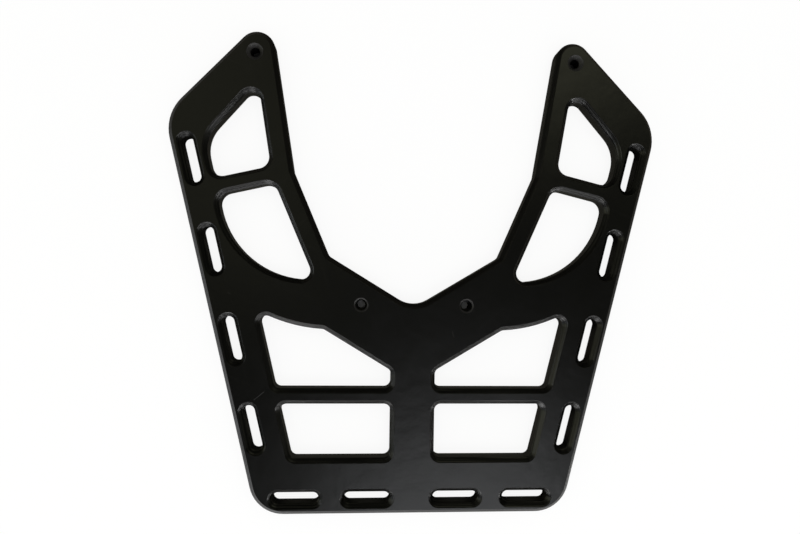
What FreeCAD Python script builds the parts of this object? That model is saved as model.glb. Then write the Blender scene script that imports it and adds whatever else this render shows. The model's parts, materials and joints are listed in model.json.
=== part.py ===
import FreeCAD, Part

import math
import os

import Sketcher

# Rear luggage rack for a motorbike: one flat plate routed from black polyethylene sheet.
# The plate lies flat with X across the bike, +Y towards the arm tips and +Z up. The origin is the
# middle of the footprint, on the underside. Heights are measured along Y from the rear edge, and drops
# from the arm tips, so that the head of the arms moves as one when the rack gets longer.

SIZES = {
    # sheet and edge breaks
    "thickness": 12.0,
    "edge_chamfer": 3.0,
    "underside_break": 0.4,
    # outline: rear corners, shoulders and tips are rounds joined by their common tangents
    "overall_width": 340.0,
    "overall_length": 333.4,
    "rear_round_spacing": 177.6,
    "rear_radius": 24.0,
    "shoulder_drop": 67.8,
    "shoulder_radius": 30.0,
    "tip_spacing": 222.0,
    "tip_radius": 12.5,
    # inner side of the arms, down to the throat between them
    "arm_bend_width": 169.9,
    "arm_bend_drop": 95.7,
    "arm_root_width": 120.0,
    "arm_inner_radius": 5.0,
    "throat_slope": 31.1,
    "throat_radius": 19.5,
    # two windows on each side of the spine
    "spine_width": 31.0,
    "side_band": 31.75,
    "rear_band": 38.9,
    "rear_window_depth": 37.9,
    "cross_rib": 10.75,
    "middle_window_inner": 12.65,
    "middle_window_outer": 54.05,
    "throat_band": 45.0,
    "saddle_start": 62.9,
    "saddle_arc": 106.2,
    "spine_corner_radius": 4.6,
    # two windows in each arm
    "inner_rail": 15.0,
    "elbow_band": 21.4,
    "lower_window_arc": 61.5,
    "arm_rib": 11.7,
    "arm_rib_rise": 1.2,
    "upper_window_inner": 59.3,
    "upper_window_outer": 27.2,
    "upper_window_round": 24.5,
    "arm_corner_radius": 8.2,
    "arm_point_radius": 6.4,
    # strap slots, a narrow flat away from the chamfers beside them
    "slot_length": 32.0,
    "slot_width": 8.0,
    "slot_land": 1.2,
    "side_slot_start": 17.2,
    "side_slot_end": 40.1,
    "rear_slot_start": 31.1,
    "rear_slot_reach": 3.9,
    # screw holes
    "tip_hole_outset": 1.0,
    "tip_hole_drop": 14.6,
    "tip_hole_diameter": 6.6,
    "tip_sink_diameter": 11.5,
    "throat_hole_spacing": 73.8,
    "throat_hole_inset": 16.8,
    "throat_hole_diameter": 5.5,
    "throat_pocket_diameter": 8.0,
    "throat_pocket_depth": 6.0,
    "throat_pocket_mouth": 10.0,
    "sink_angle": 90.0,
}
SIDE_SLOTS = 4
REAR_SLOTS = 2
START, END, CENTRE = range(1, 4)
SKETCH_ORIGIN = (-1, START)
SYMMETRY_AXIS = -2
UP = FreeCAD.Vector(0, 0, 1)
SAME_PLACE = 1e-4

doc = FreeCAD.newDocument("rear_luggage_rack")
sheet = doc.addObject("Spreadsheet::Sheet", "Sizes")
for row, (alias, value) in enumerate(SIZES.items(), start=1):
    sheet.set(f"A{row}", alias)
    sheet.set(f"B{row}", str(value))
    sheet.setAlias(f"B{row}", alias)
doc.recompute()

body = doc.addObject("PartDesign::Body", "rack_plate")
body.Label = "rack_plate"
planes = {feature.Role: feature for feature in body.Origin.OriginFeatures}


def size(alias):
    return float(sheet.get(alias))


def in_sheet(formula):
    """A formula of size names, as an expression that reads them from the sheet."""
    return formula.format_map({alias: f"Sizes.{alias}" for alias in SIZES})


def worked_out(formula):
    return body.evalExpression(in_sheet(formula))


def point(x, y):
    return FreeCAD.Vector(x, y, 0)


def heading(start, end):
    return (end - start).normalize()


def right_of(along):
    return point(along.y, -along.x)


def tangent(centre_a, radius_a, centre_b, radius_b):
    """Ends of the line from round a to round b that leaves both on its left.

    A negative radius leaves that round on the right, and a radius of zero is a point.
    """
    reach = (centre_b - centre_a).Length
    along = heading(centre_a, centre_b)
    lean = math.acos((radius_a - radius_b) / reach)
    outward = along * math.cos(lean) + right_of(along) * math.sin(lean)
    return centre_a + outward * radius_a, centre_b + outward * radius_b


def crossing(point_a, along_a, point_b, along_b):
    """Where two lines meet."""
    gap = point_b - point_a
    turn = along_a.x * along_b.y - along_a.y * along_b.x
    return point_a + along_a * ((gap.x * along_b.y - gap.y * along_b.x) / turn)


def leaving(start, along, centre, radius):
    """Where a ray that starts inside a circle leaves it."""
    offset = start - centre
    middle = offset.dot(along)
    return start + along * (math.sqrt(middle ** 2 - offset.dot(offset) + radius ** 2) - middle)


class Drawing:
    """A sketch level with the underside whose dimensions are formulas of the sheet's sizes."""

    def __init__(self, name):
        self.sketch = body.newObject("Sketcher::SketchObject", name)
        self.sketch.AttachmentSupport = [(planes["XY_Plane"], "")]
        self.sketch.MapMode = "FlatFace"

    def line(self, start, end, construction=False):
        return self.sketch.addGeometry(Part.LineSegment(start, end), construction)

    def arc(self, start, end, centre):
        """Anticlockwise arc from start to end."""
        first = math.atan2(start.y - centre.y, start.x - centre.x)
        last = math.atan2(end.y - centre.y, end.x - centre.x)
        if last < first:
            last += 2 * math.pi
        circle = Part.Circle(centre, UP, (start - centre).Length)
        return self.sketch.addGeometry(Part.ArcOfCircle(circle, first, last), False)

    def circle(self, centre, radius):
        return self.sketch.addGeometry(Part.Circle(centre, UP, radius), False)

    def tie(self, kind, *elements):
        return self.sketch.addConstraint(Sketcher.Constraint(kind, *elements))

    def join(self, *ends):
        """Bring pairs of ends together, each end an edge and its start or end."""
        for end_a, end_b in zip(ends[::2], ends[1::2]):
            self.tie("Coincident", *end_a, *end_b)

    def blend(self, *ends):
        """Bring pairs of ends together without a corner."""
        for end_a, end_b in zip(ends[::2], ends[1::2]):
            self.tie("Tangent", *end_a, *end_b)

    def dimension(self, name, formula, kind, *elements):
        index = self.tie(kind, *elements, worked_out(formula))
        self.sketch.renameConstraint(index, name)
        self.sketch.setExpression(f"Constraints.{name}", in_sheet(formula))

    def corner(self, edge, end):
        return self.sketch.getPoint(edge, end)


# Distances that several edges share
SLOT_INSET = "2 * {edge_chamfer} + {slot_land} + {slot_width} / 2"
OUTER_RAIL = "4 * {edge_chamfer} + 2 * {slot_land} + {slot_width}"
REAR_ROUND_X = "{rear_round_spacing} / 2"
MIDDLE_FLOOR = "({rear_band} + {rear_window_depth} + {cross_rib})"
# Height where the throat's two edges would meet without their round
THROAT_POINT = (
    MIDDLE_FLOOR + " + {middle_window_inner} - {spine_width} / 2 * tan({throat_slope})"
    " + {throat_band} / cos({throat_slope})"
)
THROAT_HOLE_HEIGHT = (
    THROAT_POINT + " + {throat_hole_spacing} / 2 * tan({throat_slope})"
    " - {throat_hole_inset} / cos({throat_slope})"
)
THROAT_HEIGHT = THROAT_POINT + " + {throat_radius} / cos({throat_slope}) - {throat_radius}"
ROOT_HEIGHT = THROAT_POINT + " + {arm_root_width} / 2 * tan({throat_slope})"
SHOULDER_X = "{overall_width} / 2 - {shoulder_radius}"
SHOULDER_HEIGHT = "{overall_length} - {shoulder_drop}"
SIDE_LENGTH = (
    f"sqrt(({SHOULDER_X} - {REAR_ROUND_X})^2 + ({SHOULDER_HEIGHT} - {{rear_radius}})^2"
    " - ({shoulder_radius} - {rear_radius})^2)"
)
slot_inset = worked_out(SLOT_INSET)
outer_rail = worked_out(OUTER_RAIL)
front_y = size("overall_length") / 2
rear_y = -front_y

profile = Drawing("half_profile")

# Right half of the outline
rear_centre = point(worked_out(REAR_ROUND_X), rear_y + size("rear_radius"))
shoulder_centre = point(worked_out(SHOULDER_X), front_y - size("shoulder_drop"))
tip_centre = point(size("tip_spacing") / 2, front_y - size("tip_radius"))
bend = point(size("arm_bend_width") / 2, front_y - size("arm_bend_drop"))
root = point(size("arm_root_width") / 2, rear_y + worked_out(ROOT_HEIGHT))
throat_bottom = point(0, rear_y + worked_out(THROAT_HEIGHT))
throat_centre = throat_bottom + point(0, size("throat_radius"))
rear_middle = point(0, rear_y)
rear_end = point(rear_centre.x, rear_y)
side_start, side_end = tangent(rear_centre, size("rear_radius"), shoulder_centre, size("shoulder_radius"))
brow_start, brow_end = tangent(shoulder_centre, size("shoulder_radius"), tip_centre, size("tip_radius"))
arm_start, arm_end = tangent(tip_centre, size("tip_radius"), bend, 0)
throat_start, throat_end = tangent(root, 0, throat_centre, -size("throat_radius"))

rear_edge = profile.line(rear_middle, rear_end)
rear_round = profile.arc(rear_end, side_start, rear_centre)
side_edge = profile.line(side_start, side_end)
shoulder_round = profile.arc(side_end, brow_start, shoulder_centre)
brow_edge = profile.line(brow_start, brow_end)
tip_round = profile.arc(brow_end, arm_start, tip_centre)
arm_edge = profile.line(arm_start, arm_end)
elbow_edge = profile.line(arm_end, throat_start)
throat_edge = profile.line(throat_start, throat_end)
throat_round = profile.arc(throat_bottom, throat_end, throat_centre)
middle_edge = profile.line(throat_bottom, rear_middle)

profile.blend(
    (rear_edge, END), (rear_round, START),
    (rear_round, END), (side_edge, START),
    (side_edge, END), (shoulder_round, START),
    (shoulder_round, END), (brow_edge, START),
    (brow_edge, END), (tip_round, START),
    (tip_round, END), (arm_edge, START),
    (throat_edge, END), (throat_round, END),
)
profile.join(
    (arm_edge, END), (elbow_edge, START),
    (elbow_edge, END), (throat_edge, START),
    (throat_round, START), (middle_edge, START),
    (middle_edge, END), (rear_edge, START),
)
DATUM = (rear_edge, START)
profile.tie("Horizontal", rear_edge)
profile.tie("PointOnObject", *DATUM, SYMMETRY_AXIS)
profile.tie("PointOnObject", throat_round, START, SYMMETRY_AXIS)
profile.tie("PointOnObject", throat_round, CENTRE, SYMMETRY_AXIS)
profile.dimension("rear", "{overall_length} / 2", "DistanceY", *DATUM, *SKETCH_ORIGIN)
profile.dimension("rear_x", REAR_ROUND_X, "DistanceX", rear_round, CENTRE)
profile.dimension("rear_r", "{rear_radius}", "Radius", rear_round)
profile.dimension("shoulder_x", SHOULDER_X, "DistanceX", shoulder_round, CENTRE)
profile.dimension("shoulder_y", SHOULDER_HEIGHT, "DistanceY", *DATUM, shoulder_round, CENTRE)
profile.dimension("shoulder_r", "{shoulder_radius}", "Radius", shoulder_round)
profile.dimension("tip_x", "{tip_spacing} / 2", "DistanceX", tip_round, CENTRE)
profile.dimension("tip_y", "{overall_length} - {tip_radius}", "DistanceY", *DATUM, tip_round, CENTRE)
profile.dimension("tip_r", "{tip_radius}", "Radius", tip_round)
profile.dimension("bend_x", "{arm_bend_width} / 2", "DistanceX", arm_edge, END)
profile.dimension("bend_y", "{overall_length} - {arm_bend_drop}", "DistanceY", *DATUM, arm_edge, END)
profile.dimension("root_x", "{arm_root_width} / 2", "DistanceX", elbow_edge, END)
profile.dimension("root_y", ROOT_HEIGHT, "DistanceY", *DATUM, elbow_edge, END)
profile.dimension("throat_y", THROAT_HEIGHT, "DistanceY", *DATUM, throat_round, START)
profile.dimension("throat_r", "{throat_radius}", "Radius", throat_round)

# Headings along the outline and into the plate from it
side_along = heading(side_start, side_end)
side_inward = -right_of(side_along)
arm_along = heading(arm_end, arm_start)
arm_inward = right_of(arm_along)
elbow_along = heading(throat_start, arm_end)
elbow_inward = right_of(elbow_along)
throat_along = heading(throat_end, throat_start)
throat_inward = right_of(throat_along)
rail_point = side_start + side_inward * outer_rail
band_point = side_start + side_inward * size("side_band")
across = point(1, 0)
upward = point(0, 1)

# Rear window: a box beside the spine with its outer side along the rack's side
spine_x = size("spine_width") / 2
rear_floor_y = rear_y + size("rear_band")
rear_top_y = rear_floor_y + size("rear_window_depth")
rear_foot = crossing(band_point, side_along, point(0, rear_floor_y), across)
rear_head = crossing(band_point, side_along, point(0, rear_top_y), across)
rear_outer = profile.line(rear_foot, rear_head)
rear_top = profile.line(rear_head, point(spine_x, rear_top_y))
rear_inner = profile.line(point(spine_x, rear_top_y), point(spine_x, rear_floor_y))
rear_floor = profile.line(point(spine_x, rear_floor_y), rear_foot)
profile.join(
    (rear_outer, END), (rear_top, START),
    (rear_top, END), (rear_inner, START),
    (rear_inner, END), (rear_floor, START),
    (rear_floor, END), (rear_outer, START),
)
profile.tie("Parallel", rear_outer, side_edge)
profile.tie("Horizontal", rear_top)
profile.tie("Vertical", rear_inner)
profile.tie("Horizontal", rear_floor)
profile.dimension("rear_band", "{side_band}", "Distance", rear_outer, START, side_edge)
profile.dimension("rear_spine", "{spine_width} / 2", "DistanceX", rear_inner, START)
profile.dimension("rear_floor", "{rear_band}", "DistanceY", *DATUM, rear_floor, START)
profile.dimension("rear_depth", "{rear_window_depth}", "DistanceY", rear_inner, END, rear_inner, START)

# Middle window: above the cross rib, cut off along the throat and under a saddle-shaped top
middle_floor_y = rear_y + worked_out(MIDDLE_FLOOR)
middle_foot = crossing(band_point, side_along, point(0, middle_floor_y), across)
saddle_y = middle_floor_y + size("middle_window_outer")
middle_head = crossing(band_point, side_along, point(0, saddle_y), across)
slant_point = root + throat_inward * size("throat_band")
knee = crossing(slant_point, throat_along, point(size("saddle_start"), 0), upward)
slant_foot = crossing(slant_point, throat_along, point(spine_x, 0), upward)
half_saddle = (middle_head - knee).Length / 2
saddle_rise = math.sqrt(size("saddle_arc") ** 2 - half_saddle ** 2)
saddle_centre = (knee + middle_head) * 0.5 - right_of(heading(knee, middle_head)) * saddle_rise
middle_outer = profile.line(middle_foot, middle_head)
saddle = profile.arc(knee, middle_head, saddle_centre)
slant = profile.line(knee, slant_foot)
middle_inner = profile.line(slant_foot, point(spine_x, middle_floor_y))
middle_floor = profile.line(point(spine_x, middle_floor_y), middle_foot)
profile.join(
    (middle_outer, END), (saddle, END),
    (saddle, START), (slant, START),
    (slant, END), (middle_inner, START),
    (middle_inner, END), (middle_floor, START),
    (middle_floor, END), (middle_outer, START),
)
profile.tie("Parallel", middle_outer, side_edge)
profile.tie("Parallel", slant, throat_edge)
profile.tie("Vertical", middle_inner)
profile.tie("Horizontal", middle_floor)
profile.dimension("middle_band", "{side_band}", "Distance", middle_outer, START, side_edge)
profile.dimension("middle_spine", "{spine_width} / 2", "DistanceX", middle_inner, START)
profile.dimension("cross_rib", "{cross_rib}", "DistanceY", rear_inner, START, middle_inner, END)
profile.dimension("throat_band", "{throat_band}", "Distance", slant, START, throat_edge)
profile.dimension(
    "middle_depth", "{middle_window_outer}", "DistanceY", middle_outer, START, middle_outer, END
)
profile.dimension("saddle_x", "{saddle_start}", "DistanceX", slant, START)
profile.dimension("saddle_r", "{saddle_arc}", "Radius", saddle)

# Upper window of the arm: along the rib, the outer rail and the inner side, under a slanted top
rib_top = bend + side_along * (size("arm_rib_rise") + size("arm_rib") / 2)
inner_foot = crossing(bend + arm_inward * size("inner_rail"), arm_along, rib_top, side_inward)
inner_head = inner_foot + arm_along * size("upper_window_inner")
outer_foot = crossing(rail_point, side_along, rib_top, side_inward)
outer_head = outer_foot + side_along * size("upper_window_outer")
upper_floor = profile.line(inner_foot, outer_foot)
upper_outer = profile.line(outer_foot, outer_head)
upper_top = profile.line(outer_head, inner_head)
upper_inner = profile.line(inner_head, inner_foot)
profile.join(
    (upper_floor, END), (upper_outer, START),
    (upper_outer, END), (upper_top, START),
    (upper_top, END), (upper_inner, START),
    (upper_inner, END), (upper_floor, START),
)
profile.tie("Perpendicular", upper_floor, side_edge)
profile.tie("Parallel", upper_outer, side_edge)
profile.tie("Parallel", upper_inner, arm_edge)
profile.dimension("rib_top", "{arm_rib_rise} + {arm_rib} / 2", "Distance", arm_edge, END, upper_floor)
profile.dimension("upper_rail", OUTER_RAIL, "Distance", upper_outer, START, side_edge)
profile.dimension("upper_outer", "{upper_window_outer}", "Distance", upper_outer)
profile.dimension("upper_inner", "{upper_window_inner}", "Distance", upper_inner)
profile.dimension("upper_inset", "{inner_rail}", "Distance", upper_inner, START, arm_edge)

# Lower window of the arm: the rib, the inner side and one big arc that touches the outer rail
rib_bottom = bend + side_along * (size("arm_rib_rise") - size("arm_rib") / 2)
arc_radius = size("lower_window_arc")
arc_level = point(0, saddle_y + size("elbow_band") + arc_radius)
arc_centre = crossing(arc_level, across, rail_point + side_inward * arc_radius, side_along)
lower_head = crossing(root + elbow_inward * size("inner_rail"), elbow_along, rib_bottom, side_inward)
lower_foot = leaving(lower_head, -elbow_along, arc_centre, arc_radius)
lower_shoulder = leaving(lower_head, -side_inward, arc_centre, arc_radius)
lower_top = profile.line(lower_shoulder, lower_head)
lower_inner = profile.line(lower_head, lower_foot)
lower_arc = profile.arc(lower_foot, lower_shoulder, arc_centre)
profile.join(
    (lower_top, END), (lower_inner, START),
    (lower_inner, END), (lower_arc, START),
    (lower_arc, END), (lower_top, START),
)
profile.tie("Perpendicular", lower_top, side_edge)
profile.tie("Parallel", lower_inner, elbow_edge)
profile.dimension("rib_bottom", "{arm_rib} / 2 - {arm_rib_rise}", "Distance", arm_edge, END, lower_top)
profile.dimension("lower_inset", "{inner_rail}", "Distance", lower_inner, START, elbow_edge)
profile.dimension("lower_r", "{lower_window_arc}", "Radius", lower_arc)
ARC_INSET = OUTER_RAIL + " + {lower_window_arc}"
ARC_RISE = "{elbow_band} + {lower_window_arc}"
profile.dimension("lower_rail", ARC_INSET, "Distance", lower_arc, CENTRE, side_edge)
profile.dimension("lower_y", ARC_RISE, "DistanceY", middle_outer, END, lower_arc, CENTRE)


def strap_slot(name, centre, along):
    """Slot with round ends, and its two end arcs, the first one ahead."""
    reach = along * ((size("slot_length") - size("slot_width")) / 2)
    left = -right_of(along) * (size("slot_width") / 2)
    ahead = profile.arc(centre + reach - left, centre + reach + left, centre + reach)
    left_side = profile.line(centre + reach + left, centre - reach + left)
    behind = profile.arc(centre - reach + left, centre - reach - left, centre - reach)
    right_side = profile.line(centre - reach - left, centre + reach - left)
    profile.blend(
        (ahead, END), (left_side, START),
        (left_side, END), (behind, START),
        (behind, END), (right_side, START),
        (right_side, END), (ahead, START),
    )
    profile.tie("Equal", ahead, behind)
    profile.dimension(f"{name}_r", "{slot_width} / 2", "Radius", ahead)
    return ahead, behind


def stations(count, first, last):
    """Formulas of evenly spaced places from the first to the last."""
    return [f"{first} + {number} * ({last} - {first}) / {count - 1}" for number in range(count)]


# Side slots, spread along the side and counted from a line square to it at the shoulder
HALF_SLOT = "({slot_length} - {slot_width}) / 2"
station_line = profile.line(side_end, side_end + side_inward * size("side_band"), construction=True)
profile.join((station_line, START), (side_edge, END))
profile.tie("Perpendicular", station_line, side_edge)
profile.dimension("station_reach", "{side_band}", "Distance", station_line)
side_stations = stations(SIDE_SLOTS, "{side_slot_start}", f"({SIDE_LENGTH} - {{side_slot_end}})")
for number, station in enumerate(side_stations, start=1):
    name = f"side_slot_{number}"
    centre = side_end - side_along * worked_out(station) + side_inward * slot_inset
    ahead, behind = strap_slot(name, centre, side_along)
    profile.dimension(f"{name}_inset_a", SLOT_INSET, "Distance", ahead, CENTRE, side_edge)
    profile.dimension(f"{name}_inset_b", SLOT_INSET, "Distance", behind, CENTRE, side_edge)
    profile.dimension(f"{name}_a", f"{station} - {HALF_SLOT}", "Distance", ahead, CENTRE, station_line)
    profile.dimension(f"{name}_b", f"{station} + {HALF_SLOT}", "Distance", behind, CENTRE, station_line)

# Rear slots, spread from the middle of the rear edge to its round corner, which the last one reaches into
last_station = f"({REAR_ROUND_X} + {{rear_slot_reach}} - {HALF_SLOT})"
rear_stations = stations(REAR_SLOTS, "{rear_slot_start}", last_station)
for number, station in enumerate(rear_stations, start=1):
    name = f"rear_slot_{number}"
    ahead, behind = strap_slot(name, point(worked_out(station), rear_y + slot_inset), across)
    profile.dimension(f"{name}_inset_a", SLOT_INSET, "DistanceY", *DATUM, ahead, CENTRE)
    profile.dimension(f"{name}_inset_b", SLOT_INSET, "DistanceY", *DATUM, behind, CENTRE)
    profile.dimension(f"{name}_a", f"{station} + {HALF_SLOT}", "DistanceX", ahead, CENTRE)
    profile.dimension(f"{name}_b", f"{station} - {HALF_SLOT}", "DistanceX", behind, CENTRE)

doc.recompute()
half_plate = body.newObject("PartDesign::Pad", "half_plate")
half_plate.Profile = profile.sketch
half_plate.setExpression("Length", "Sizes.thickness")
doc.recompute()


def round_corners(name, radius, *corners):
    """Round the upright edges that stand on the given corners of the profile."""
    places = [profile.corner(*corner) for corner in corners]
    base = body.Tip
    edges = []
    for number, edge in enumerate(base.Shape.Edges, start=1):
        foot, head = edge.firstVertex().Point, edge.lastVertex().Point
        upright = point(foot.x, foot.y).isEqual(point(head.x, head.y), SAME_PLACE)
        if upright and any(point(foot.x, foot.y).isEqual(place, SAME_PLACE) for place in places):
            edges.append(f"Edge{number}")
    fillet = body.newObject("PartDesign::Fillet", name)
    fillet.Base = (base, edges)
    fillet.setExpression("Radius", f"Sizes.{radius}")
    doc.recompute()


# Corners take the radius of the cutter or more
round_corners("arm_inner_rounds", "arm_inner_radius", (arm_edge, END), (elbow_edge, END))
round_corners("upper_window_shoulder", "upper_window_round", (upper_outer, END))
round_corners(
    "arm_window_corners", "arm_corner_radius",
    (upper_floor, START), (upper_floor, END), (lower_top, START), (lower_top, END),
)
round_corners("arm_window_points", "arm_point_radius", (upper_inner, START), (lower_inner, END))
spine_window_edges = (
    rear_outer, rear_top, rear_inner, rear_floor,
    middle_outer, slant, middle_inner, middle_floor,
)
spine_corners = [(edge, START) for edge in spine_window_edges] + [(middle_outer, END)]
round_corners("spine_window_corners", "spine_corner_radius", *spine_corners)

# The other half
whole_plate = body.newObject("PartDesign::Mirrored", "whole_plate")
whole_plate.TransformMode = "Whole shape"
whole_plate.MirrorPlane = (planes["YZ_Plane"], [""])
whole_plate.Refine = True
body.Tip = whole_plate
doc.recompute()


def break_edges(name, level, amount):
    """Chamfer every edge of the flat face at a level."""
    base = body.Tip
    for number, face in enumerate(base.Shape.Faces, start=1):
        flat = abs(face.BoundBox.ZMin - level) < SAME_PLACE and face.BoundBox.ZLength < SAME_PLACE
        if flat:
            chamfer = body.newObject("PartDesign::Chamfer", name)
            chamfer.Base = (base, [f"Face{number}"])
            chamfer.setExpression("Size", f"Sizes.{amount}")
    doc.recompute()


break_edges("top_chamfer", size("thickness"), "edge_chamfer")
break_edges("underside_chamfer", 0, "underside_break")


def screw_holes(name, spacing, height, diameter, mouth=None, depth=None):
    """A pair of holes, one on each side, that go through unless they have a depth.

    A mouth is the diameter to which a cone opens their upper end.
    """
    drawing = Drawing(f"{name}_centres")
    drawing.sketch.setExpression("AttachmentOffset.Base.z", "Sizes.thickness")
    place = point(worked_out(spacing) / 2, rear_y + worked_out(height))
    right = drawing.circle(place, size(diameter) / 2)
    left = drawing.circle(point(-place.x, place.y), size(diameter) / 2)
    drawing.tie("Equal", right, left)
    drawing.tie("Symmetric", right, CENTRE, left, CENTRE, SYMMETRY_AXIS)
    drawing.dimension("across", spacing, "DistanceX", left, CENTRE, right, CENTRE)
    drawing.dimension("up", f"{height} - {{overall_length}} / 2", "DistanceY", right, CENTRE)
    drawing.dimension("wide", f"{{{diameter}}} / 2", "Radius", right)
    doc.recompute()
    before = body.Tip.Shape.Volume
    hole = body.newObject("PartDesign::Hole", name)
    hole.Profile = drawing.sketch
    doc.recompute()
    hole.DrillPoint = "Flat"
    hole.setExpression("Diameter", f"Sizes.{diameter}")
    if depth:
        hole.setExpression("Depth", f"Sizes.{depth}")
    else:
        hole.DepthType = "ThroughAll"
    if mouth:
        hole.HoleCutType = "Countersink"
        hole.HoleCutCustomValues = True
        hole.setExpression("HoleCutDiameter", f"Sizes.{mouth}")
        hole.setExpression("HoleCutCountersinkAngle", "Sizes.sink_angle")
    doc.recompute()
    if body.Tip.Shape.Volume >= before:
        raise RuntimeError(f"{name} cut nothing")


screw_holes(
    "tip_holes",
    "{tip_spacing} + 2 * {tip_hole_outset}",
    "{overall_length} - {tip_hole_drop}",
    "tip_hole_diameter",
    mouth="tip_sink_diameter",
)
screw_holes(
    "throat_pockets",
    "{throat_hole_spacing}",
    THROAT_HOLE_HEIGHT,
    "throat_pocket_diameter",
    mouth="throat_pocket_mouth",
    depth="throat_pocket_depth",
)
screw_holes("throat_holes", "{throat_hole_spacing}", THROAT_HOLE_HEIGHT, "throat_hole_diameter")

for item in doc.Objects:
    if "Invalid" in item.State or "Error" in item.State:
        raise RuntimeError(f"{item.Name} failed: {item.State}")
plate = body.Shape
if plate.isNull() or not plate.isValid() or len(plate.Solids) != 1:
    raise RuntimeError("the plate is not one valid solid")

os.makedirs("parts", exist_ok=True)
plate.exportStep(f"parts/{body.Label}.step")
print(f"{body.Label}: volume {plate.Volume:.1f} mm3, box {plate.BoundBox}")
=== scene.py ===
import json
import math

import bpy
from mathutils import Euler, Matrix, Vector


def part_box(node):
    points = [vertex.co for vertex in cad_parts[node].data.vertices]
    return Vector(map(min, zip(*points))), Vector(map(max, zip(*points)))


# Rear luggage rack: a flat forked plate routed from satin black polyethylene sheet.
# It lies on a pale floor and is seen from straight above. Lengths are metres unless a name says mm.

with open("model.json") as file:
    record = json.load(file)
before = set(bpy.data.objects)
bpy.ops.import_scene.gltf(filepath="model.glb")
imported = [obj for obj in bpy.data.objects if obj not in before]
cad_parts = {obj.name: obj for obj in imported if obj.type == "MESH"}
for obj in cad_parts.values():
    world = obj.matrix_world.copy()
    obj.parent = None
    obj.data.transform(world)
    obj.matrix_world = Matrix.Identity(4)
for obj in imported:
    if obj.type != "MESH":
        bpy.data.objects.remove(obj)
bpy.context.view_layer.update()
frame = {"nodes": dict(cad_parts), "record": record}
plate = frame["nodes"]["rack_plate"]
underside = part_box("rack_plate")[0].z
screw_mounts = [mount for mount in frame["record"]["mounts"] if "spacing_x_mm" in mount.get("dims", {})]

MM_PER_METRE = 1000.0
WHITE = (1.0, 1.0, 1.0, 1.0)
BLACK = (0.0, 0.0, 0.0, 1.0)
FROM_ABOVE = (1.0, 1.0, 0.0)


class Signal:
    """A shader socket that Python expressions can use."""

    def __init__(self, shader, socket):
        self.shader = shader
        self.socket = socket

    def __add__(self, other):
        return self.shader.maths("ADD", self, other)

    def __sub__(self, other):
        return self.shader.maths("SUBTRACT", self, other)

    def __mul__(self, other):
        return self.shader.maths("MULTIPLY", self, other)

    def __radd__(self, other):
        return self.shader.maths("ADD", other, self)

    def __rsub__(self, other):
        return self.shader.maths("SUBTRACT", other, self)

    def __rmul__(self, other):
        return self.shader.maths("MULTIPLY", other, self)

    def __abs__(self):
        return self.shader.maths("ABSOLUTE", self)


class Shader:
    """The node tree of a material or of the world."""

    def __init__(self, owner):
        owner.use_nodes = True
        self.tree = owner.node_tree
        self.tree.nodes.clear()

    def node(self, kind, settings=None, inputs=None, output=0):
        """A node with its settings made first, then its sockets; returns one of its outputs."""
        made = self.tree.nodes.new("ShaderNode" + kind)
        for name, value in (settings or {}).items():
            if name == "stops":
                self.set_stops(made.color_ramp.elements, value)
            else:
                setattr(made, name, value)
        for name, value in (inputs or {}).items():
            if isinstance(value, Signal):
                self.tree.links.new(value.socket, made.inputs[name])
            else:
                made.inputs[name].default_value = value
        return Signal(self, made.outputs[output]) if len(made.outputs) else None

    def set_stops(self, elements, stops):
        while len(elements) < len(stops):
            elements.new(1.0)
        for element, (place, shade) in zip(elements, stops):
            element.position = place
            element.color = shade

    def maths(self, operation, *values):
        return self.node("Math", {"operation": operation}, dict(enumerate(values)))

    def vector(self, operation, *values, output="Vector", **named):
        inputs = {**dict(enumerate(values)), **named}
        return self.node("VectorMath", {"operation": operation}, inputs, output)

    def noise(self, place, per_mm, detail=0.0):
        """Noise of 0 to 1 with so many swells in each mm along x, y and z."""
        spread = self.vector("MULTIPLY", place, per_mm)
        return self.node("TexNoise", inputs={"Vector": spread, "Scale": 1.0, "Detail": detail})

    def larger(self, first, *others):
        for other in others:
            first = self.maths("MAXIMUM", first, other)
        return first

    def step(self, signal, low, high):
        """0 below low, 1 above high and smooth between."""
        inputs = {"Value": signal, "From Min": low, "From Max": high}
        return self.node("MapRange", {"interpolation_type": "SMOOTHSTEP"}, inputs)

    def blend(self, share, colour_a, colour_b):
        """A share of the second colour over the first, on the sockets that Mix keeps for colours."""
        return self.node("Mix", {"data_type": "RGBA"}, {0: share, 6: colour_a, 7: colour_b}, 2)


def colour(level, warmth=0.0):
    return (level * (1 + warmth), level, level * (1 - warmth), 1.0)


PLASTIC_COLOUR = (0.0020, 0.0019, 0.0014, 1.0)
SCUFF_AND_PAINTED_LIGHT_COLOUR = colour(0.03, 0.05)
PLASTIC_IOR = 1.5

SKIN_ROUGHNESS = 0.31
BEVEL_ROUGHNESS = 0.32
WALL_ROUGHNESS = 0.6
DRILLED_ROUGHNESS = 0.5
MOTTLE_ROUGHNESS = 0.05
RUBBED_ROUGHNESS = 0.06
CUTTER_LINE_ROUGHNESS = 0.10

# how far the scuff colour shows; on the drilled rims it is painted light, standing in for the light the
# countersinks catch
RUBBED_PALENESS = 0.08
NICKED_PALENESS = 0.25
DRILLED_RIM_PAINTED_LIGHT = 0.5

# swells per mm along x, y and z
GRAIN_PER_MM = (1.4, 1.4, 1.4)
MOTTLE_PER_MM = (0.06, 0.06, 0.06)
HAIRLINES_PER_MM = (0.02, 1.6, 0.5)
CUTTER_LINES_PER_MM = (0.012, 0.012, 1.3)
CHATTER_PER_MM = (0.8, 0.8, 0.1)
NICKS_PER_MM = (0.5, 0.5, 0.5)

# how many finer swells lie on those
FACE_DETAIL = 3.0
NICK_DETAIL = 2.0
CUT_DETAIL = 1.0
NOISE_MIDDLE = 0.5

GRAIN_HEIGHT_MM = 0.012
MOTTLE_HEIGHT_MM = 0.25
MARK_DEPTH_MM = 0.15
CUTTER_LINE_HEIGHT_MM = 0.35
CHATTER_HEIGHT_MM = 0.012

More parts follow.
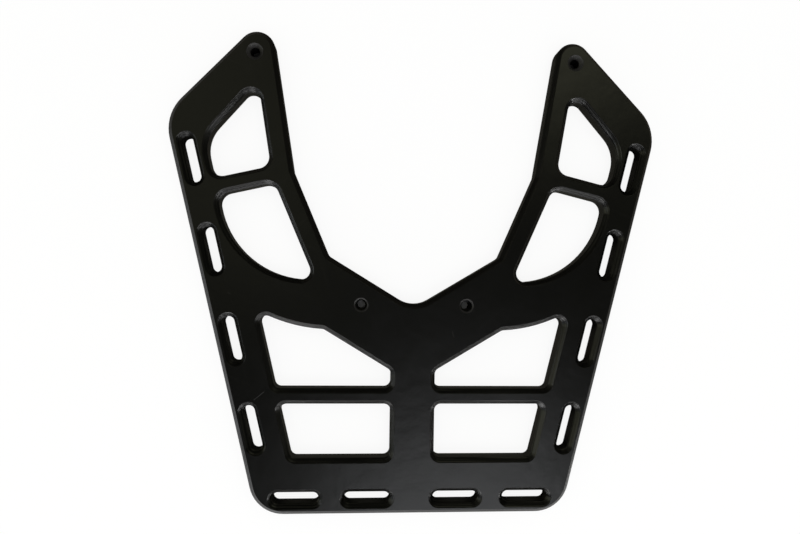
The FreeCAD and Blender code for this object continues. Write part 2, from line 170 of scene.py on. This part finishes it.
# from none to all of the surface, by how level it lies
LEVEL_OF_SKIN = (0.9, 0.99)
LEVEL_OF_BEVEL = (0.2, 0.5)

EDGE_ROUND = 0.0003
EDGE_SAMPLES = 8
EDGE_TURN = (0.01, 0.06)
NICK_NOISE = (0.62, 0.75)
HAIRLINE_NOISE = (0.72, 0.9)
HAIRLINE_TURNS_DEGREES = (24.0, 71.0, 138.0)
SCREW_HOLE_REACH = (0.006, 0.007)
MARKS_MM = [
    # knocks and scratches on the face: start x, y and end x, y, then half width and strength
    (27.0, -38.8, 28.0, -42.5, 0.7, 0.3),
    (-128.0, -13.0, -126.6, -13.8, 0.6, 0.2),
    (-102.6, -81.2, -109.3, -86.7, 0.3, 0.35),
    (37.5, -86.0, 40.0, -82.0, 0.3, 0.25),
]


def inside_screw_holes(shader, place, mount):
    """1 inside the two holes of a mount, seen from above, and 0 past the rims."""
    flat = shader.vector("MULTIPLY", place, FROM_ABOVE)
    half_spacing = mount["dims"]["spacing_x_mm"] / 2 / MM_PER_METRE
    inside = 0.0
    for x in (-half_spacing, half_spacing):
        gap = shader.vector("DISTANCE", flat, (x, mount["pos_m"][1], 0.0), output="Value")
        inside = shader.larger(inside, 1 - shader.step(gap, *SCREW_HOLE_REACH))
    return inside


def marks(shader, place):
    """Where the face is knocked or scratched, each mark fading from its middle line."""
    flat = shader.vector("MULTIPLY", place, FROM_ABOVE)
    marked = 0.0
    for start_x, start_y, end_x, end_y, half_width, strength in MARKS_MM:
        run = Vector((end_x - start_x, end_y - start_y, 0.0))
        offset = shader.vector("SUBTRACT", flat, (start_x, start_y, 0.0))
        reach = shader.vector("DOT_PRODUCT", offset, run / run.length_squared, output="Value")
        reach = shader.maths("MINIMUM", shader.larger(reach, 0.0), 1.0)
        nearest = shader.vector("SCALE", tuple(run), Scale=reach)
        gap = shader.vector("DISTANCE", offset, nearest, output="Value")
        marked = shader.larger(marked, strength * (1 - shader.step(gap, 0.0, half_width)))
    return marked


def hairlines(shader, place):
    """Fine straight rub marks in three directions."""
    lines = 0.0
    for turn in HAIRLINE_TURNS_DEGREES:
        turned = shader.node(
            "VectorRotate",
            {"rotation_type": "Z_AXIS"},
            {"Vector": place, "Angle": math.radians(turn)},
        )
        line = shader.step(shader.noise(turned, HAIRLINES_PER_MM), *HAIRLINE_NOISE)
        lines = shader.larger(lines, line)
    return lines


def black_polyethylene():
    """Satin skin on the two faces, cutter lines on the bevels, drilled rims painted paler as painted
    light, and duller walls.
    """
    material = bpy.data.materials.new("black_polyethylene_finish")
    shader = Shader(material)
    metres = shader.node("TexCoord", output="Object")
    place = shader.vector("SCALE", metres, Scale=MM_PER_METRE)
    facing = shader.node("NewGeometry", output="True Normal")
    rounded = shader.node("Bevel", {"samples": EDGE_SAMPLES}, {"Radius": EDGE_ROUND})
    level = abs(shader.node("SeparateXYZ", inputs={0: facing}, output="Z"))
    skin = shader.step(level, *LEVEL_OF_SKIN)
    cut = 1 - skin
    bevel = shader.step(level, *LEVEL_OF_BEVEL) - skin
    turned = 1 - shader.vector("DOT_PRODUCT", facing, rounded, output="Value")
    edge = shader.step(turned, *EDGE_TURN)

    holes = [inside_screw_holes(shader, metres, mount) for mount in screw_mounts]
    drilled = bevel * shader.larger(*holes)
    grain = shader.noise(place, GRAIN_PER_MM, FACE_DETAIL)
    mottle = shader.noise(place, MOTTLE_PER_MM, FACE_DETAIL)
    rubbed = skin * hairlines(shader, place)
    marked = skin * marks(shader, place)
    cutter_lines = shader.noise(place, CUTTER_LINES_PER_MM, CUT_DETAIL)
    chatter = shader.noise(place, CHATTER_PER_MM, CUT_DETAIL)
    nicked = edge * shader.step(shader.noise(place, NICKS_PER_MM, NICK_DETAIL), *NICK_NOISE)

    roughness = (
        WALL_ROUGHNESS
        + skin * (SKIN_ROUGHNESS - WALL_ROUGHNESS)
        + bevel * (BEVEL_ROUGHNESS - WALL_ROUGHNESS)
        + MOTTLE_ROUGHNESS * (mottle - NOISE_MIDDLE)
        + RUBBED_ROUGHNESS * rubbed
        + cut * (CUTTER_LINE_ROUGHNESS * (cutter_lines - NOISE_MIDDLE))
        + drilled * (DRILLED_ROUGHNESS - BEVEL_ROUGHNESS)
    )
    height_mm = (
        skin * (GRAIN_HEIGHT_MM * grain + MOTTLE_HEIGHT_MM * mottle)
        - MARK_DEPTH_MM * marked
        + cut * (CUTTER_LINE_HEIGHT_MM * cutter_lines + CHATTER_HEIGHT_MM * chatter)
    )
    # Paler colour: real rubs, knocks and nicks, and painted light on the drilled rims.
    scuffs_and_painted_light = (
        RUBBED_PALENESS * rubbed
        + marked
        + NICKED_PALENESS * nicked
        + DRILLED_RIM_PAINTED_LIGHT * drilled
    )
    relief = shader.node(
        "Bump",
        inputs={"Strength": 1.0, "Distance": 1 / MM_PER_METRE, "Height": height_mm, "Normal": rounded},
    )
    surface = shader.node(
        "BsdfPrincipled",
        inputs={
            "Base Color": shader.blend(scuffs_and_painted_light, PLASTIC_COLOUR, SCUFF_AND_PAINTED_LIGHT_COLOUR),
            "Roughness": roughness,
            "IOR": PLASTIC_IOR,
            "Normal": relief,
        },
    )
    shader.node("OutputMaterial", inputs={"Surface": surface})
    return material


FLOOR_SIZE = 12.0
FLOOR_GAP = 0.0001
FLOOR_WHITE = 0.88
PAPER = colour(0.9)
# the floor under the screw holes is painted darker: painted shade where the plate closes off the light
HOLE_FLOOR_PAINTED_SHADE = {"tip_holes": 0.04, "throat_holes": 0.25}

# what the plate mirrors of the floor, painted shade and light: dark under it, dim beside it and lit
# behind it
WALL_FOOT_PAINTED_SHADE = (0.22, 0.21, 0.17, 1.0)
SHADED_PAPER = (0.09, 0.08, 0.06, 1.0)
SHADE_REACH = 0.06
SHADE_SAMPLES = 16
SHADE_STOPS = [
    (0.28, BLACK),
    (0.43, WALL_FOOT_PAINTED_SHADE),
    (0.55, WALL_FOOT_PAINTED_SHADE),
    (0.75, SHADED_PAPER),
]
OPEN_SKY = (0.85, 0.98)
LIT_FLOOR_CENTRE = (-0.15, -0.29, 0.0)
LIT_FLOOR_REACH = (0.16, 0.55)
ARM_GAP_HALF_WIDTH = (0.08, 0.15)
ARM_GAP_START = (-0.04, 0.01)


def between_arms(shader, place):
    """1 on the floor in the gap between the two arms, which shade it."""
    x = abs(shader.node("SeparateXYZ", inputs={0: place}, output="X"))
    y = shader.node("SeparateXYZ", inputs={0: place}, output="Y")
    return (1 - shader.step(x, *ARM_GAP_HALF_WIDTH)) * shader.step(y, *ARM_GAP_START)


def mirrored_floor(shader, place):
    """The colour of the floor in the plate's gloss: painted shade under and beside the plate and a
    painted lit pool behind it.
    """
    sky = shader.node("AmbientOcclusion", {"samples": SHADE_SAMPLES}, {"Distance": SHADE_REACH}, "AO")
    shaded = shader.node("ValToRGB", {"stops": SHADE_STOPS}, {"Fac": sky})
    far = shader.vector("DISTANCE", place, LIT_FLOOR_CENTRE, output="Value")
    near = 1 - shader.step(far, *LIT_FLOOR_REACH)
    lit = near * shader.step(sky, *OPEN_SKY) * (1 - between_arms(shader, place))
    return shader.blend(lit, shaded, WHITE)


def pale_floor():
    """Paper that the camera sees white from above, with a faint shadow, and not at all from below;
    painted shade under the screw holes, and painted shade and light in what the plate mirrors.
    """
    material = bpy.data.materials.new("pale_floor")
    shader = Shader(material)
    place = shader.node("TexCoord", output="Object")
    camera = shader.node("LightPath", output="Is Camera Ray")
    glossy = shader.node("LightPath", output="Is Glossy Ray")
    transmitted = shader.node("LightPath", output="Is Transmission Ray")
    paper_and_painted_shade = PAPER
    open_to_light = 1.0
    # painted shade: a darker paper colour under the screw holes
    for mount in screw_mounts:
        under = inside_screw_holes(shader, place, mount)
        paper_and_painted_shade = shader.blend(under, paper_and_painted_shade, colour(HOLE_FLOOR_PAINTED_SHADE[mount["name"]]))
        open_to_light = open_to_light - under
    paper = shader.node("BsdfDiffuse", inputs={"Color": paper_and_painted_shade})
    # Camera rays see the white floor; glossy rays see the painted shade and light of the mirrored
    # floor.
    shown = shader.blend(camera, mirrored_floor(shader, place), WHITE)
    white = shader.node("Emission", inputs={"Color": shown})
    seen_white = camera * FLOOR_WHITE * open_to_light
    share = shader.larger(seen_white, glossy, transmitted)
    top = shader.node("MixShader", inputs={0: share, 1: paper, 2: white})
    underneath = shader.node("NewGeometry", output="Backfacing")
    clear = shader.node("BsdfTransparent")
    surface = shader.node("MixShader", inputs={0: underneath, 1: top, 2: clear})
    shader.node("OutputMaterial", inputs={"Surface": surface})
    return material


def add_floor():
    half = FLOOR_SIZE / 2
    corners = [(-half, -half, 0), (half, -half, 0), (half, half, 0), (-half, half, 0)]
    mesh = bpy.data.meshes.new("floor")
    mesh.from_pydata(corners, [], [(0, 1, 2, 3)])
    mesh.materials.append(pale_floor())
    floor = bpy.data.objects.new("floor", mesh)
    bpy.context.scene.collection.objects.link(floor)
    floor.location.z = underside - FLOOR_GAP


PLAIN_LIGHT = (1.0, 1.0, 1.0)
SKYLIGHT = (0.98, 1.0, 1.03)
DAYLIGHT = (0.94, 1.0, 1.07)
ROOM_LIGHT = (1.0, 1.0, 0.7)
LAMPS = {
    # name: direction from the plate, distance, width, height, radiance, colour
    "rear_panel": ((0.0, -1.0, 0.15), 1.5, 2.6, 0.4, 2.2, PLAIN_LIGHT),
    "rear_right_window": ((0.56, -0.83, 0.08), 1.4, 0.8, 0.3, 3.8, PLAIN_LIGHT),
    "right_window": ((0.84, -0.55, 0.05), 1.4, 0.3, 0.2, 17.0, PLAIN_LIGHT),
    "rear_left_window": ((-0.42, -0.9, 0.14), 1.4, 0.8, 0.3, 4.5, PLAIN_LIGHT),
    "left_window": ((-1.0, -0.3, 0.06), 1.5, 1.6, 0.24, 2.8, DAYLIGHT),
    "left_panel": ((-1.0, -0.05, 0.42), 1.5, 0.9, 0.6, 0.9, ROOM_LIGHT),
    "right_panel": ((1.0, -0.3, 0.8), 1.6, 0.9, 0.6, 0.25, ROOM_LIGHT),
    "front_left_panel": ((-0.7, 0.8, 1.0), 1.6, 0.9, 0.5, 0.3, ROOM_LIGHT),
    "front_right_panel": ((0.8, 0.7, 1.0), 1.6, 0.9, 0.5, 0.2, ROOM_LIGHT),
    "ceiling_panel": ((0.18, -0.58, 0.8), 1.6, 0.75, 0.8, 2.0, SKYLIGHT),
    "front_panel": ((0.28, 0.58, 0.83), 1.6, 0.8, 0.8, 0.75, ROOM_LIGHT),
    "left_ceiling_panel": ((-0.35, 0.25, 0.9), 1.6, 0.8, 1.1, 0.24, ROOM_LIGHT),
}
WORLD_LEVEL = 0.8


def add_lamps():
    for name, (direction, distance, width, height, radiance, tint) in LAMPS.items():
        lamp = bpy.data.lights.new(name, "AREA")
        lamp.shape = "RECTANGLE"
        lamp.size = width
        lamp.size_y = height
        lamp.energy = math.pi * width * height * radiance
        lamp.color = tint
        aim = Vector(direction).normalized()
        holder = bpy.data.objects.new(name, lamp)
        holder.location = aim * distance
        holder.rotation_euler = (-aim).to_track_quat("-Z", "Y").to_euler()
        holder.visible_camera = False
        bpy.context.scene.collection.objects.link(holder)


def add_world():
    """Even soft light from all round, white where the camera sees it and not mirrored."""
    world = bpy.data.worlds.new("studio")
    bpy.context.scene.world = world
    world.cycles_visibility.glossy = False
    shader = Shader(world)
    seen = shader.node("LightPath", output="Is Camera Ray")
    level = WORLD_LEVEL + (1 - WORLD_LEVEL) * seen
    background = shader.node("Background", inputs={"Color": WHITE, "Strength": level})
    shader.node("OutputWorld", inputs={"Surface": background})


CAMERA_PLACE = (-0.03344, 0.00839, 0.4010)
CAMERA_TURN_DEGREES = (-0.392, -3.396, 0.858)
CAMERA_LENS_MM = 25.2
CAMERA_SENSOR_MM = 36.0
CAMERA_NEAR = 0.01


def add_camera():
    lens = bpy.data.cameras.new("camera")
    lens.lens = CAMERA_LENS_MM
    lens.sensor_width = CAMERA_SENSOR_MM
    lens.clip_start = CAMERA_NEAR
    camera = bpy.data.objects.new("camera", lens)
    camera.location = CAMERA_PLACE
    camera.rotation_euler = Euler([math.radians(turn) for turn in CAMERA_TURN_DEGREES])
    bpy.context.scene.collection.objects.link(camera)
    bpy.context.scene.camera = camera


plate.data.materials[0] = black_polyethylene()
add_floor()
add_lamps()
add_world()
add_camera()
bpy.context.scene.view_settings.view_transform = "Standard"
